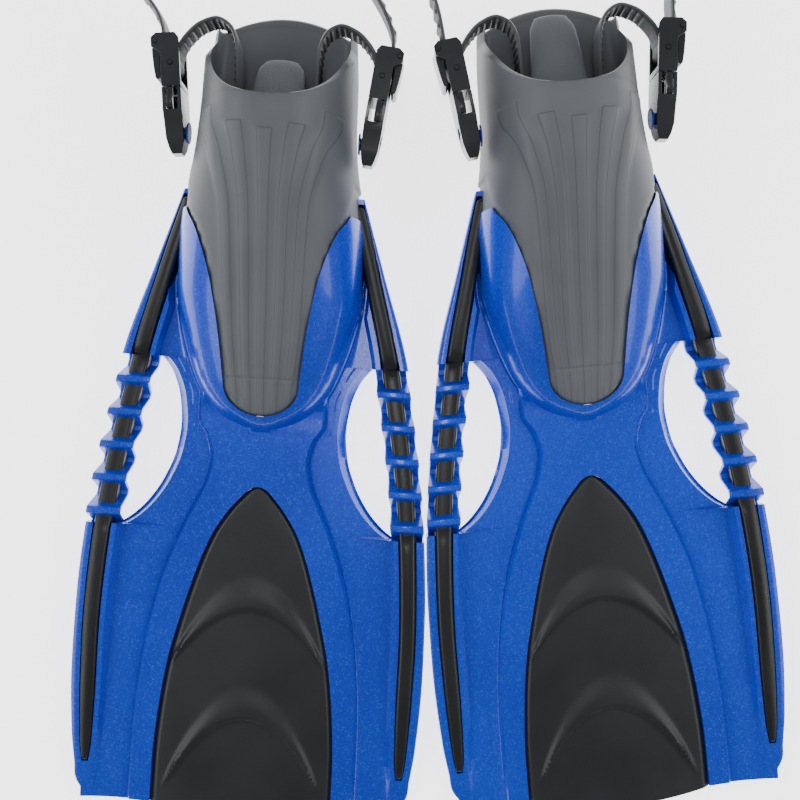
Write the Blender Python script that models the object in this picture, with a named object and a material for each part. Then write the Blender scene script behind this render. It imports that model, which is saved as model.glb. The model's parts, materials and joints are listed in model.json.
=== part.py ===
"""A pair of open-heel swim fins with clip-on heel straps.

Each fin is modelled once in its own frame, in millimetres: u runs across the fin, v is the station
measured from the heel end towards the tip, and z is up from the floor. fin_meshes() works out every
sub-part there. place_fin() then turns each sub-part into an object of its own, in metres, hung on an
empty that gives the fin its place in the pair. The right fin is the left fin mirrored.
"""
import math

import bmesh
import bpy
import numpy as np
from mathutils import Matrix, Vector

MM = 0.001          # millimetres to metres
GAP = 0.35          # clearance kept between neighbouring solids, mm

# The pair ----------------------------------------------------------------------------------------
TOE_IN = 4.6        # each fin's axis leans this many degrees, heels together
TIP_STATION = 425   # station at which the spacing of the two blades is measured
TIP_SPACING = 229   # distance between the two blades' centre lines there
STAGGER = 4         # the right fin lies this much further towards the heels
HEEL_Y = 243.05     # the heels lie here, so that the box round the pair is centred on the origin

# One fin -----------------------------------------------------------------------------------------
FIN_LENGTH = 499
ROOT_STATION = 113.5                 # where the blade's shoulders start
VENT_START, VENT_END = 217, 323      # the ladder bridges the blade between these stations
OUTER_EDGE = [(113, 55.4), (160, 71), (216, 89), (270, 98.5), (320, 105.6), (370, 109.4),
              (415, 110.4), (455, 108.8), (478, 106.2)]
CORNER_RADIUS = 18
VENT_EDGE = [(213, 72), (218, 65.5), (228, 58.5), (242, 54), (258, 52.3), (275, 54.3), (292, 60.3),
             (306, 68.5), (318, 79.5), (325, 90)]
SPINE_EDGE = [(113, 39), (254, 39), (265, 33), (278, 30), (292, 32.5), (308, 39.5), (331, 49.5),
              (362, 59.5), (408, 67.5), (447, 70.5), (499, 71.5)]
SPINE_RISE = [(230, 0), (258, 5), (300, 4), (360, 3), (499, 1.5)]
PLATE_TOP = [(113, 15), (216, 13), (330, 10), (420, 7.5), (499, 5)]
PLATE_BOTTOM = [(113, 3), (330, 2.5), (499, 1.2)]
SHOULDER_TOP = [(113, 27), (160, 24), (212, 20), (330, 17.5), (420, 12.5), (475, 7.5), (499, 5)]
SHOULDER_BOTTOM = [(113, 0), (470, 0), (499, 1.2)]
SHOULDER_REACH = 9.5                 # the thick shoulder runs this far in from the rail's line

RAIL_LINE = [(113, 50.2), (165, 64.4), (217, 78), (323, 95.2), (400, 99.4), (475, 99.4)]
RAIL_START, RAIL_END = 117, 475
RAIL_HALF = [(117, 4), (150, 5), (211, 5.5), (220, 5.8), (317, 5.8), (326, 5.4), (420, 4.8),
             (462, 3.4), (475, 1.8)]
RAIL_TOP = [(117, 29), (160, 26.4), (211, 21.3), (220, 16.2), (317, 16.2), (326, 19.2), (420, 14.2),
            (475, 8.6)]
RAIL_BOTTOM = [(117, 9), (211, 7), (220, 5.8), (317, 5.8), (326, 6), (420, 4.6), (475, 3.6)]

LADDER_PITCH = 20.6
LADDER_RUNGS = 5
LADDER_FIRST = 232.3                 # station of the first crest
LADDER_LOW, LADDER_HIGH = 0.6, 21.2  # undersides of the valleys, tops of the crests
LADDER_WALL = 4.4                    # thickness of the folded strip
LADDER_HALF_CREST, LADDER_HALF_VALLEY = 10.6, 9.8

INSERT_EDGE = [(296, 1.5), (300, 8.6), (308, 15.6), (316, 21.3), (324, 26), (336, 31.2), (352, 36.6),
               (378, 43.9), (408, 50.8), (440, 55), (470, 57), (520, 57.5)]
INSERT_STATIONS = [296, 300, 308, 316, 324, 336, 352, 378, 408, 440, 470, 486, FIN_LENGTH]
INSERT_BULGE = 7                     # how far the rubber reaches past the blade's end
INSERT_HALF = 57.5

SHELL_HALF = [(0, 44.5), (40, 46.5), (70, 47.4), (84, 48.6), (98, 50.6), (112, 53.4), (140, 57.3),
              (172, 57.8), (200, 52.6), (225, 44.5), (236, 39.2), (246, 31.8), (253, 22.4), (258, 10)]
SHELL_TOP = [(0, 95), (72, 95), (100, 88), (140, 72), (180, 56), (220, 42), (243, 33), (258, 21.5)]
SHELL_END = 258
SOLE_TOP = 12
HEEL_SWEEP = 16                      # the heel edge's corners lie this far ahead of its middle
WALL = 4.3
CAVITY_START, CAVITY_END = 3, 247
TOPLINE = [(13, 14), (71.5, 97)]     # side view of the cut that opens the heel
RUBBER_EDGE = [(112, 51.5), (122, 50.5), (130, 48.3), (140, 42.2), (154, 36.5), (170, 31.8),
               (186, 28.7), (205, 25.8), (231.5, 23)]
RUBBER_TOE = 19                      # depth of the rounded toe of the rubber

STUD_STATION, STUD_HEIGHT, STUD_CENTRE = 84, 45, 58
STUD_PIN, STUD_FLANGE, STUD_HEAD = 3.6, 6.6, 5.6
STUD_BOSS = 50.2                     # the pocket's boss ends here, measured across the fin

# One buckle: q runs heelwards from the stud, n runs outwards, z is up from the stud's axis ---------
LEAN = math.radians(6.5)
BUCKLE_HALF = 13                     # half the buckle's height
NOSE_END, NOSE_ROOT, FORK_END = -13.5, 11, 24
HEAD_RECESS = 2.8                    # the stud's head lies in the nose beyond this distance outwards
CLIP_START, CLIP_WALL_END, CLIP_END = 24.6, 28.2, 56
CLIP_HALF = 5.6
FORK_HALF = 3.5                      # half the width between the fork's cheeks
CHANNEL_HALF = 10.6                  # half the height of the strap's channel
ROLLER_Q, ROLLER_RADIUS, JOURNAL_RADIUS = 38.5, 2.0, 1.4
PAWL_Q, PAWL_N, PAWL_PIN = 51.5, 8.2, 1.3
PRONG_HALF, PRONG_THICK = 1.8, 3.2
PRONG_N = 1.4                        # the prongs sit nearer the fork's outer cheek

# The strap ---------------------------------------------------------------------------------------
STRAP_THICK = 2.8
STRAP_HALF = 9.8
STRAP_OFFSET = ROLLER_RADIUS + GAP + STRAP_THICK / 2
# The loop from a buckle over the heel end of the wall and down into the pocket: across, station, z.
LOOP_ROUTE = [(57.6, 34, 45), (53, 26.5, 45.2), (46, 20.5, 46), (37, 17.5, 46.5), (28.5, 22, 46),
              (24.5, 33, 44), (24, 48, 40), (24.4, 62, 36), (22.5, 73, 34), (16, 81, 33),
              (8, 84.5, 33)]
# Each fin's free tails beyond the clip, as steps outwards (n) for every step heelwards (q).
TAIL_STEP = 7
TAILS = {
    "left": {"outer": (0.8, 2.4, 4.2, 5.6, 6.6, 7), "inner": (-1.2, -3, -4.4, -5.4, -6, -6.2)},
    "right": {"outer": (-0.2, -0.4, 0.2, 0.8, 1.2, 1.6), "inner": (-0.3, -0.2, 0.2, 0.6, 1, 1.2)},
}
TAB_END = {"left": 33, "right": 12}  # station of the pull tab's free end
TAB_ROOT, TAB_ROOT_HALF, TAB_END_HALF, TAB_THICK, TAB_HEIGHT = 82, 19, 13, 3.4, 42


# Small helpers -----------------------------------------------------------------------------------
def along(knots, at):
    """Smooth curve through the knots: a cubic between each pair, that never swings past a knot."""
    x, y = np.array(knots, dtype=float).T
    at = np.asarray(at, dtype=float)
    rate = np.diff(y) / np.diff(x)
    before, after = np.append(rate[:1], rate), np.append(rate, rate[-1:])
    both = before * after
    slope = np.where(both > 0, 2 * both / np.where(both > 0, before + after, 1), 0)
    inside = np.clip(at, x[0], x[-1])
    k = np.clip(np.searchsorted(x, inside) - 1, 0, len(x) - 2)
    step = x[k + 1] - x[k]
    t = (inside - x[k]) / step
    a = (1 + 2 * t) * (1 - t) ** 2 * y[k] + t * (1 - t) ** 2 * step * slope[k]
    b = t ** 2 * (3 - 2 * t) * y[k + 1] + t ** 2 * (t - 1) * step * slope[k + 1]
    return a + b


def triangulated(mesh, turn_out=False):
    """The mesh in triangles, so that every face of a Boolean's input is flat."""
    tidy = bmesh.new()
    tidy.from_mesh(mesh)
    if turn_out:
        bmesh.ops.recalc_face_normals(tidy, faces=tidy.faces)
    bmesh.ops.triangulate(tidy, faces=tidy.faces)
    tidy.to_mesh(mesh)
    tidy.free()
    return mesh


def mesh_from(points, faces):
    """Mesh in the fin's own frame, in metres, from points given as (u, v, z) in millimetres."""
    points = np.asarray(points, dtype=float) * [1, -1, 1] * MM
    mesh = bpy.data.meshes.new("shape")
    mesh.from_pydata(points.tolist(), [], faces)
    return triangulated(mesh, turn_out=True)


def loft(rings, flat_ends=False):
    """Closed solid through rings of equal size. Point k of a ring faces its point size - 1 - k, and
    the end caps are strips between those pairs, so that they may curve; flat_ends makes one face."""
    rings = np.asarray(rings, dtype=float)
    count, size = rings.shape[:2]
    faces = []
    for first in (0, (count - 1) * size):
        if flat_ends:
            faces.append([first + k for k in range(size)])
        else:
            faces += [[first + k, first + k + 1, first + size - 2 - k, first + size - 1 - k]
                      for k in range(size // 2 - 1)]
    for i in range(count - 1):
        for k in range(size):
            here, there = i * size + k, i * size + (k + 1) % size
            faces.append([here, there, there + size, here + size])
    return mesh_from(rings.reshape(-1, 3), faces)


def prism(outline, low, high):
    """Outline in (u, v) carried from height low to height high."""
    outline = np.asarray(outline, dtype=float)
    rings = [np.column_stack([outline, np.full(len(outline), z)]) for z in (low, high)]
    return loft(rings, flat_ends=True)


def mirrored_outline(half):
    """Closed outline from its right half, given from the heel to the tip."""
    half = np.asarray(half, dtype=float)
    return np.vstack([half, half[::-1] * [-1, 1]])


def combine(first, second, operation, solver="MANIFOLD"):
    """Boolean of two meshes; both are used up. EXACT leaves open edges where the folded ladder and
    the thin cheeks meet the rail, so the closed meshes here go through MANIFOLD."""
    target = bpy.data.objects.new("target", first)
    cutter = bpy.data.objects.new("cutter", second)
    for ob in (target, cutter):
        bpy.context.scene.collection.objects.link(ob)
    step = target.modifiers.new("step", "BOOLEAN")
    step.operation = operation
    step.solver = solver
    step.object = cutter
    bpy.context.view_layer.update()
    evaluated = target.evaluated_get(bpy.context.evaluated_depsgraph_get())
    result = bpy.data.meshes.new_from_object(evaluated)
    for ob in (target, cutter):
        bpy.data.objects.remove(ob)
    return triangulated(result)


def simplified(mesh, angle=1.2):
    """The same shape with the needless cuts inside its nearly flat areas dissolved."""
    shape = bmesh.new()
    shape.from_mesh(mesh)
    bmesh.ops.dissolve_degenerate(shape, dist=0.02 * MM, edges=shape.edges)
    bmesh.ops.dissolve_limit(shape, angle_limit=math.radians(angle), verts=shape.verts, edges=shape.edges)
    bmesh.ops.triangulate(shape, faces=shape.faces)
    shape.to_mesh(mesh)
    shape.free()
    return mesh


def cut(mesh, *cutters):
    for cutter in cutters:
        mesh = combine(mesh, cutter, "DIFFERENCE")
    return mesh


def join(mesh, *others):
    for other in others:
        mesh = combine(mesh, other, "UNION")
    return mesh


def mirror(mesh):
    """Copy of a mesh reflected across the fin's middle, with its faces turned back outwards."""
    copy = mesh.copy()
    shape = bmesh.new()
    shape.from_mesh(copy)
    bmesh.ops.scale(shape, vec=(-1, 1, 1), verts=shape.verts)
    bmesh.ops.reverse_faces(shape, faces=shape.faces)
    shape.to_mesh(copy)
    shape.free()
    return copy


# Blade, ladders, rails and insert -----------------------------------------------------------------
def blade_edge(v):
    """Half width of the blade, with the notch that the ladder bridges and the rounded tip corners."""
    if VENT_START <= v <= VENT_END:
        return float(along(VENT_EDGE, v))
    edge = float(along(OUTER_EDGE, v))
    corner = v - (FIN_LENGTH - CORNER_RADIUS)
    if corner > 0:
        edge -= CORNER_RADIUS - math.sqrt(max(CORNER_RADIUS ** 2 - corner ** 2, 0))
    return edge


def plate():
    """Blade plate: a raised spine in the middle and thick shoulders along the rails."""
    stations = np.concatenate([
        np.linspace(ROOT_STATION, VENT_START - 0.5, 6), np.linspace(VENT_START + 0.5, VENT_END - 0.5, 11),
        np.linspace(VENT_END + 0.5, FIN_LENGTH - CORNER_RADIUS, 8),
        FIN_LENGTH - CORNER_RADIUS * (1 - np.sin(np.radians([25, 50, 72, 88])))])
    rings = []
    for v in stations:
        edge = blade_edge(v)
        middle, spine = float(along(PLATE_TOP, v)), float(along(SPINE_RISE, v))
        floor = float(along(PLATE_BOTTOM, v))
        in_vent = VENT_START < v < VENT_END
        top = middle if in_vent else float(along(SHOULDER_TOP, v))
        base = floor if in_vent else float(along(SHOULDER_BOTTOM, v))
        ridge = min(float(along(SPINE_EDGE, v)), edge - 9)
        shoulder = float(np.clip(along(RAIL_LINE, v) - SHOULDER_REACH, ridge + 4, edge - 4))
        half = [(ridge - 2, middle + spine, floor), (ridge + 2, middle, floor),
                (shoulder, middle, floor), (shoulder + 1.6, top, base), (edge - 1.5, top, base),
                (edge, top - 1.5, base + 1)]
        upper = [(u, v, z) for u, z, _ in half]
        lower = [(u, v, z) for u, _, z in half]
        reflect = [(-u, v, z) for u, v, z in upper]
        reflect_low = [(-u, v, z) for u, v, z in lower]
        rings.append(reflect[::-1] + [(0, v, middle + spine)] + upper + lower[::-1]
                     + [(0, v, floor)] + reflect_low)
    return loft(rings)


def ladder():
    """Folded strip beside the vent: its crests pass over the rail and its valleys under it."""
    valley_top = LADDER_LOW + LADDER_WALL
    half_pitch, flat = LADDER_PITCH / 2, LADDER_WALL * 0.45
    profile = [(VENT_START - 6, (LADDER_LOW + LADDER_HIGH) / 2),
               (LADDER_FIRST - half_pitch - flat, valley_top)]
    for rung in range(LADDER_RUNGS):
        crest = LADDER_FIRST + LADDER_PITCH * rung
        profile += [(crest - half_pitch + flat, valley_top), (crest - flat, LADDER_HIGH),
                    (crest + flat, LADDER_HIGH), (crest + half_pitch - flat, valley_top)]
    profile.append((VENT_END + 4, valley_top))
    rings = []
    for v, top in profile:
        centre = float(along(RAIL_LINE, v))
        rise = (top - valley_top) / (LADDER_HIGH - valley_top)
        half = LADDER_HALF_VALLEY + (LADDER_HALF_CREST - LADDER_HALF_VALLEY) * rise
        rings.append([(centre - half, v, top - LADDER_WALL), (centre + half, v, top - LADDER_WALL),
                      (centre + half, v, top), (centre - half, v, top)])
    return loft(rings)


def rail(grow=0.0):
    """Stiffening bar that lies in the shoulder and runs through the ladder; grow widens it to cut."""
    stations = np.concatenate([np.linspace(RAIL_START, 211, 4), [214, 220, 244, 268, 292, 317, 326],
                               np.linspace(365, RAIL_END, 5)])
    stations[0] -= grow
    stations[-1] += grow
    rings = []
    for v in stations:
        centre, half = float(along(RAIL_LINE, v)), float(along(RAIL_HALF, v)) + grow
        top, base = float(along(RAIL_TOP, v)) + grow, float(along(RAIL_BOTTOM, v)) - grow
        ease = half * 0.35
        rings.append([(centre - half, v, base), (centre + half, v, base), (centre + half, v, top - ease),
                      (centre + half - ease, v, top), (centre - half + ease, v, top),
                      (centre - half, v, top - ease)])
    return loft(rings)


def insert_outline(grow):
    """Plan outline of the opening for the insert, run out past the blade's end."""
    half = along(INSERT_EDGE, INSERT_STATIONS) + grow
    stations = np.array(INSERT_STATIONS, dtype=float)
    stations[0] -= grow
    return mirrored_outline(np.vstack([np.column_stack([half, stations]), [(half[-1], 530)]]))


def insert_panel():
    """Rubber panel let into the blade, crowned along its middle, bulging past the blade's end."""
    rings = []
    for v in INSERT_STATIONS:
        edge = float(along(INSERT_EDGE, v))
        top = float(along(PLATE_TOP, v) + along(SPINE_RISE, v)) - 0.8
        floor = float(along(PLATE_BOTTOM, v))
        push = max(v - 450, 0) / (FIN_LENGTH - 450)
        u = np.linspace(-edge, edge, 9)
        station = v + push ** 2 * INSERT_BULGE * (1 - (u / INSERT_HALF) ** 2)
        crown = top + 0.9 * (1 - (u / edge) ** 2)
        upper = np.column_stack([u, station, crown])
        lower = np.column_stack([u, station, np.full(9, floor)])[::-1]
        rings.append(np.vstack([upper, lower]))
    return loft(rings)


# Foot pocket -------------------------------------------------------------------------------------
def dome_ring(v, half, floor, top, corner):
    """Cross-section of the pocket: flat floor, upright sides and an arched roof."""
    turn = np.linspace(0, math.pi, 15)
    spring = floor + corner
    roof = half * np.sign(np.cos(turn)) * np.abs(np.cos(turn)) ** 0.8
    u = np.concatenate([roof, roof[::-1] * (1 - 0.6 * corner / half)])
    rise = np.abs(np.sin(turn)) ** 0.8
    z = np.concatenate([spring + (top - spring) * rise, np.full(15, floor)])
    heel = max(1 - v / 40, 0) * HEEL_SWEEP * (u / 46) ** 2
    return np.column_stack([u, v + heel, z])


def shell():
    """Outside of the foot pocket with its toe box, closed over the heel."""
    stations = np.concatenate([[0, 20, 40, 72], np.linspace(92, 222, 8), [233, 243, 250, 254.5, SHELL_END]])
    return loft([dome_ring(v, float(along(SHELL_HALF, v)), 0, float(along(SHELL_TOP, v)), 8)
                 for v in stations])


def cavity():
    """The space for the foot."""
    stations = np.concatenate([[CAVITY_START, 20, 40, 72], np.linspace(92, 214, 7),
                               [226, 236, CAVITY_END - 4, CAVITY_END]])
    return loft([dome_ring(v, float(along(SHELL_HALF, v + 3)) - WALL, SOLE_TOP,
                           float(along(SHELL_TOP, v + 3)) - WALL - 0.7, 5) for v in stations])


def heel_opening():
    """Everything above the topline, which slopes from the instep down to the heel."""
    (low_v, low_z), (high_v, high_z) = TOPLINE
    side = [(-30, low_z), (low_v, low_z), (high_v, high_z), (high_v, 140), (-30, 140)]
    return loft([[(u, v, z) for v, z in side] for u in (-80, 80)], flat_ends=True)


def rubber_zone(grow):
    """Plan outline of the rubber: full width at the heel, narrowing to a rounded toe."""
    stations = np.array([v for v, _ in RUBBER_EDGE[:-1]] + [218, RUBBER_EDGE[-1][0]], dtype=float)
    edge = along(RUBBER_EDGE, stations) + grow
    stations[0] += grow
    turn = np.radians(np.linspace(12, 90, 7))
    toe = np.column_stack([edge[-1] * np.cos(turn),
                           RUBBER_EDGE[-1][0] + (RUBBER_TOE + grow) * np.sin(turn)])
    half = np.vstack([[(80, -40), (80, stations[0])], np.column_stack([edge, stations]), toe[:-1]])
    return prism(np.vstack([half, [toe[-1]], half[::-1] * [-1, 1]]), -5, 140)


def turned(profile, side):
    """Solid turned about the stud's axis; the profile lists (distance across the fin, radius)."""
    turn = np.linspace(0, 2 * math.pi, 14, endpoint=False)
    return loft([np.column_stack([np.full(14, side * u), STUD_STATION + r * np.cos(turn),
                                  STUD_HEIGHT + r * np.sin(turn)]) for u, r in profile])


def foot_pocket():
    body = join(shell(), *[turned([(38, 9.5), (STUD_BOSS, 8)], side) for side in (-1, 1)])
    body = cut(body, cavity(), heel_opening())
    body = simplified(combine(body, rubber_zone(0), "INTERSECT"), 1.5)
    groove = rail(GAP)
    return simplified(cut(body, mirror(groove), groove), 0.3)


def blade():
    body = join(plate(), shell())
    strip = ladder()
    body = join(body, mirror(strip), strip)
    body = simplified(cut(body, rubber_zone(GAP), cavity()), 1.5)
    groove = rail(GAP)
    return simplified(cut(body, prism(insert_outline(GAP), -5, 40), mirror(groove), groove), 0.3)


def stud(side):
    """Blue stud on the pocket's boss: flange, pin and the head that keeps the buckle on."""
    inner, outer = STUD_CENTRE - 6.3, STUD_CENTRE + HEAD_RECESS + GAP
    return turned([(STUD_BOSS + GAP, STUD_FLANGE), (inner, STUD_FLANGE), (inner, STUD_PIN),
                   (outer, STUD_PIN), (outer, STUD_HEAD), (outer + 1.4, STUD_HEAD),
                   (outer + 1.9, STUD_HEAD - 0.8)], side)


# Buckle ------------------------------------------------------------------------------------------
def from_buckle(points, side):
    """Buckle coordinates (q, n, z) to fin coordinates, for the buckle on the side given as -1 or 1."""
    q, n, z = np.asarray(points, dtype=float).reshape(-1, 3).T
    u = STUD_CENTRE + q * math.sin(LEAN) + n * math.cos(LEAN)
    v = STUD_STATION - q * math.cos(LEAN) + n * math.sin(LEAN)
    return np.column_stack([side * u, v, STUD_HEIGHT + z])


def slab(outline, low, high, side):
    """Outline in (q, n) carried in height from low to high."""
    return loft([from_buckle([(q, n, z) for q, n in outline], side) for z in (low, high)],
                flat_ends=True)


def block(q, n, z, side):
    outline = [(q[0], n[0]), (q[1], n[0]), (q[1], n[1]), (q[0], n[1])]
    return slab(outline, z[0], z[1], side)


def post(q, n, stages, side):
    """Round pin with an upright axis; stages lists (height, radius) from the bottom up."""
    turn = np.linspace(0, 2 * math.pi, 12, endpoint=False)
    return loft([from_buckle(np.column_stack([q + r * np.cos(turn), n + r * np.sin(turn),
                                              np.full(12, z)]), side) for z, r in stages])


def buckle_base(side):
    """Tapered nose that swings on the stud, with a two-cheeked fork for the clip's prongs."""
    rings = []
    for q, half_height, half_width in [(NOSE_END, 4.5, 2.8), (-10.5, 6.8, 4), (-5, 8.8, 5.2),
                                       (6.6, 10.8, CLIP_HALF), (NOSE_ROOT, BUCKLE_HALF, CLIP_HALF),
                                       (FORK_END, BUCKLE_HALF, CLIP_HALF)]:
        ring = [(q, -half_width, -half_height), (q, half_width, -half_height),
                (q, half_width, half_height), (q, -half_width, half_height)]
        rings.append(from_buckle(ring, side))
    body = cut(loft(rings), block((NOSE_ROOT, FORK_END + 5), (-FORK_HALF, FORK_HALF), (-30, 30), side))
    head = turned([(STUD_CENTRE + HEAD_RECESS, STUD_HEAD + GAP), (80, STUD_HEAD + GAP)], side)
    return simplified(cut(body, turned([(30, STUD_PIN + GAP), (80, STUD_PIN + GAP)], side), head))


def strap_clip(side):
    """Frame that carries the strap: two cheeks, an end wall, a separator bar and ears for the pawl."""
    ear = PAWL_N + 2.4
    outline = [(CLIP_START, -5.5), (CLIP_START + 1, -CLIP_HALF), (CLIP_END - 3, -CLIP_HALF),
               (CLIP_END, -3.5), (CLIP_END, ear - 3), (CLIP_END - 2.5, ear), (PAWL_Q - 3.5, ear),
               (PAWL_Q - 7, CLIP_HALF), (CLIP_START + 1, CLIP_HALF), (CLIP_START, 5.5)]
    body = slab(outline, -BUCKLE_HALF, BUCKLE_HALF, side)
    body = cut(body, block((CLIP_WALL_END, 80), (-20, 30), (-CHANNEL_HALF, CHANNEL_HALF), side))
    body = join(body, block((51.5, 54), (-1.2, 1.2), (-11.2, 11.2), side))
    holes = [(ROLLER_Q, 0, JOURNAL_RADIUS), (PAWL_Q, PAWL_N, PAWL_PIN)]
    return simplified(cut(body, *[post(q, n, [(-20, r + GAP), (20, r + GAP)], side) for q, n, r in holes]))


def release_prong(side, up):
    """Springy prong on the end of the clip; its raised pad is squeezed to let the clip out."""
    near, far = PRONG_N - PRONG_HALF, PRONG_N + PRONG_HALF
    tip, root = NOSE_ROOT + 0.6, CLIP_START - GAP
    edge = BUCKLE_HALF
    profile = [(root, edge - PRONG_THICK - 1.4), (root, edge - 0.4), (root - 3, edge - 0.4),
               (root - 5, edge + 0.9), (tip + 3, edge + 0.9), (tip, edge - 1.2),
               (tip, edge - PRONG_THICK)]
    return loft([from_buckle([(q, n, up * z) for q, z in profile], side) for n in (near, far)],
                flat_ends=True)


def roller(side):
    """Roller that the strap turns round, with journals that show as round ends on the cheeks."""
    barrel, end = CHANNEL_HALF - GAP, BUCKLE_HALF + 0.3
    return post(ROLLER_Q, 0, [(-end, JOURNAL_RADIUS), (-barrel, JOURNAL_RADIUS), (-barrel, ROLLER_RADIUS),
                              (barrel, ROLLER_RADIUS), (barrel, JOURNAL_RADIUS),
                              (end, JOURNAL_RADIUS)], side)


def pawl_pin(side):
    end = BUCKLE_HALF + 0.4
    return post(PAWL_Q, PAWL_N, [(-end, PAWL_PIN), (end, PAWL_PIN)], side)


def pawl_lever(side):
    """Lever on the buckle's outer face; its tooth bites the tail, and lifting its end lets go."""
    face = STRAP_OFFSET + STRAP_THICK / 2 + GAP
    outline = [(PAWL_Q + 2.1, PAWL_N - 1.5), (PAWL_Q + 2.3, PAWL_N + 1), (PAWL_Q + 0.8, PAWL_N + 2.3),
               (PAWL_Q - 6, PAWL_N + 2.6), (PAWL_Q - 15, PAWL_N + 2), (30.5, PAWL_N + 1.2),
               (29.5, PAWL_N), (30.5, CLIP_HALF + 0.9), (PAWL_Q - 9, CLIP_HALF + 0.9),
               (PAWL_Q - 5, face + 0.1), (PAWL_Q - 3, face + 0.4), (PAWL_Q - 1, PAWL_N - 2.2)]
    body = slab(outline, -9.9, 9.9, side)
    return simplified(cut(body, post(PAWL_Q, PAWL_N, [(-20, PAWL_PIN + GAP), (20, PAWL_PIN + GAP)], side)))


# Heel strap --------------------------------------------------------------------------------------
def buckle_run(side, tail):
    """Strap centre line through one buckle, from the free tail's tip round the roller."""
    steps = np.array(tail)
    q = CLIP_END + TAIL_STEP * np.arange(len(steps) + 1)
    n = STRAP_OFFSET + np.concatenate([[0], np.cumsum(steps)])
    free = np.column_stack([q, n, np.zeros(len(q))])[::-1]
    held = [(q, STRAP_OFFSET, 0) for q in (50, 44, ROLLER_Q)]
    turn = np.radians(np.linspace(67.5, -67.5, 7))
    wrap = np.column_stack([ROLLER_Q - STRAP_OFFSET * np.cos(turn), STRAP_OFFSET * np.sin(turn),
                            np.zeros(7)])
    back = [(q, -STRAP_OFFSET, 0) for q in (ROLLER_Q, 42)]
    return from_buckle(np.vstack([free, held, wrap, back]), side)


def smooth_route(points, spacing):
    """Points at an even spacing on a smooth curve through the given points."""
    points = np.asarray(points, dtype=float)
    steps = np.linalg.norm(np.diff(points, axis=0), axis=1)
    reach = np.concatenate([[0], np.cumsum(steps)])
    at = np.linspace(0, reach[-1], int(reach[-1] / spacing))
    return np.column_stack([along(list(zip(reach, axis)), at) for axis in points.T])


def heel_strap(fin):
    """One flat strap: tail, roller, loop tucked into the pocket, and the same again mirrored."""
    loop = np.array(LOOP_ROUTE, dtype=float)
    halves = {}
    for name, side in (("outer", -1), ("inner", 1)):
        halves[name] = np.vstack([buckle_run(side, TAILS[fin][name]), loop * [side, 1, 1]])
    middle = [(0, LOOP_ROUTE[-1][1] + 1.2, LOOP_ROUTE[-1][2])]
    route = smooth_route(np.vstack([halves["outer"], middle, halves["inner"][::-1]]), 2.2)
    heading = np.gradient(route, axis=0)
    heading[:, 2] = 0
    heading /= np.linalg.norm(heading, axis=1)[:, None]
    across = np.column_stack([-heading[:, 1], heading[:, 0], np.zeros(len(route))])
    up = np.array([0, 0, 1])
    taper = np.clip(np.minimum(np.arange(len(route)), np.arange(len(route))[::-1]) / 4, 0, 1)
    half_width = STRAP_HALF * (0.72 + 0.28 * taper)[:, None]
    half_thick = STRAP_THICK / 2
    rings = np.stack([route - across * half_thick - up * half_width,
                      route + across * half_thick - up * half_width,
                      route + across * half_thick + up * half_width,
                      route - across * half_thick + up * half_width], axis=1)
    end, root = TAB_END[fin], TAB_ROOT
    stations = np.linspace(end, root, 6)
    share = (stations - end) / (root - end)
    tab = []
    for v, s in zip(stations, share):
        half = TAB_END_HALF + (TAB_ROOT_HALF - TAB_END_HALF) * min(s * 1.2, 1)
        z = TAB_HEIGHT - 14 * (1 - s) ** 2
        tab.append([(-half, v, z - TAB_THICK / 2), (half, v, z - TAB_THICK / 2),
                    (half, v, z + TAB_THICK / 2), (-half, v, z + TAB_THICK / 2)])
    return simplified(join(loft(rings), loft(tab)), 4)


# Objects -----------------------------------------------------------------------------------------
def material(name, colour, roughness, metallic=0.0):
    made = bpy.data.materials.new(name)
    made.use_nodes = True
    shader = made.node_tree.nodes["Principled BSDF"]
    shader.inputs["Base Color"].default_value = (*colour, 1)
    shader.inputs["Roughness"].default_value = roughness
    shader.inputs["Metallic"].default_value = metallic
    made.diffuse_color = (*colour, 1)
    return made


def fin_meshes():
    """Every sub-part of the left fin, as name: (mesh, pivot in fin coordinates, material)."""
    stud_axis = (0, STUD_STATION, STUD_HEIGHT)
    fixed = (0, 0, 0)
    parts = {
        "blade": (blade(), fixed, "blue_plastic"),
        "center_insert": (insert_panel(), fixed, "black_rubber"),
        "rail_inner": (rail(), fixed, "black_rubber"),
        "rail_outer": (mirror(rail()), fixed, "black_rubber"),
        "foot_pocket": (foot_pocket(), fixed, "grey_rubber"),
    }
    for place, side in (("outer", -1), ("inner", 1)):
        roller_axis = tuple(from_buckle((ROLLER_Q, 0, 0), side)[0])
        pawl_axis = tuple(from_buckle((PAWL_Q, PAWL_N, 0), side)[0])
        parts[f"stud_{place}"] = (stud(side), stud_axis, "blue_plastic")
        parts[f"buckle_base_{place}"] = (buckle_base(side), stud_axis, "black_plastic")
        parts[f"strap_clip_{place}"] = (strap_clip(side), roller_axis, "black_plastic")
        parts[f"roller_{place}"] = (roller(side), roller_axis, "black_plastic")
        parts[f"pawl_pin_{place}"] = (pawl_pin(side), pawl_axis, "black_plastic")
        parts[f"pawl_lever_{place}"] = (pawl_lever(side), pawl_axis, "black_plastic")
        for level, up in (("top", 1), ("bottom", -1)):
            root = tuple(from_buckle((CLIP_START, PRONG_N, up * (BUCKLE_HALF - 2)), side)[0])
            parts[f"release_prong_{place}_{level}"] = (release_prong(side, up), root, "black_plastic")
    return parts


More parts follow.
